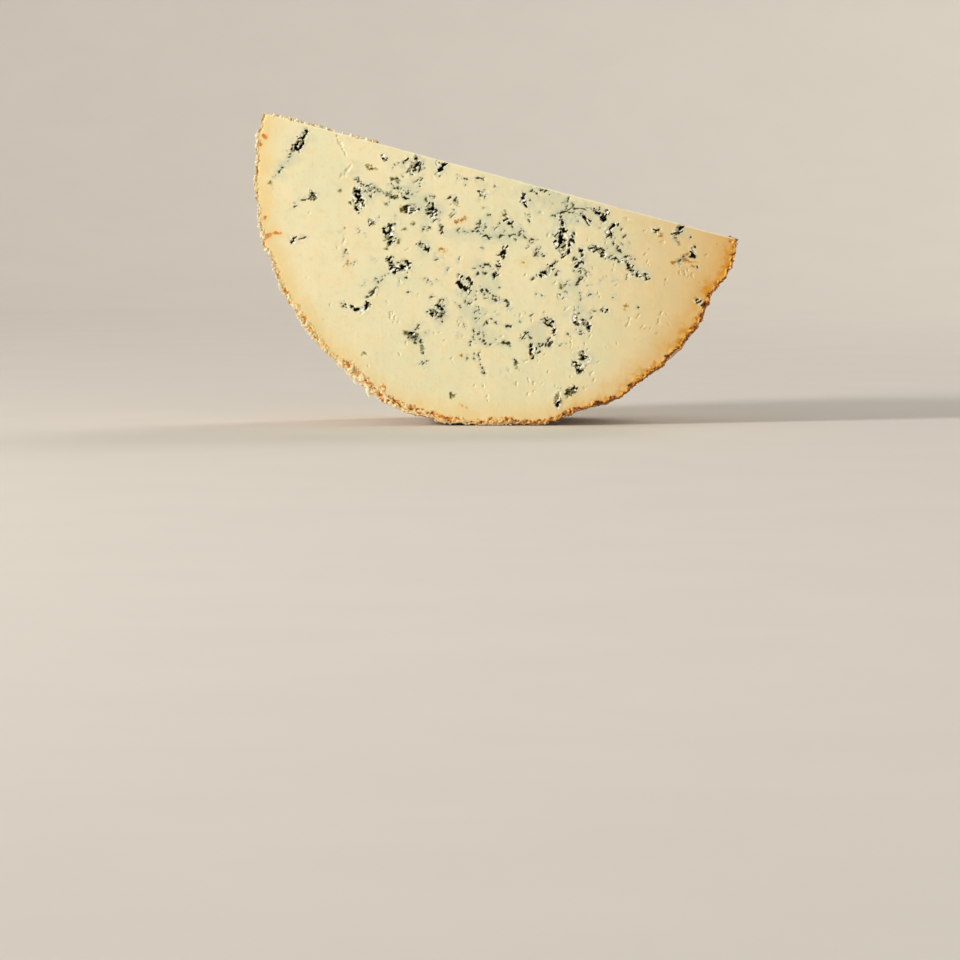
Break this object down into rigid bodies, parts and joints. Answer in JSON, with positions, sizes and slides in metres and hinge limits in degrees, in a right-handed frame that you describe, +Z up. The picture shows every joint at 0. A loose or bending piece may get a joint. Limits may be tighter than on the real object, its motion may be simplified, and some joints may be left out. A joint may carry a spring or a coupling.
{
  "type": "stilton wedge",
  "caption": "Half-moon wedge of blue-veined cheese cut from a round cheese, with its crusty brown rind on, standing on the rind with the straight cut on top.",
  "frame": {"origin": "on the floor, in the small flat spot that the wedge rests on, straight below the axis of the round cheese that it was cut from, halfway through its thickness", "axes": "+Z up; -Y out of the big front cut; +X to the right as seen from the front, towards the lower end of the leaning straight cut"},
  "size_m": [0.1978, 0.066, 0.1269],
  "materials": {
    "cheese": "moist cream-yellow paste with blue-green veins and a dry, rough brown rind"
  },
  "bodies": {
    "root": {"cheese_wedge": "cheese"}
  },
  "joints": []
}
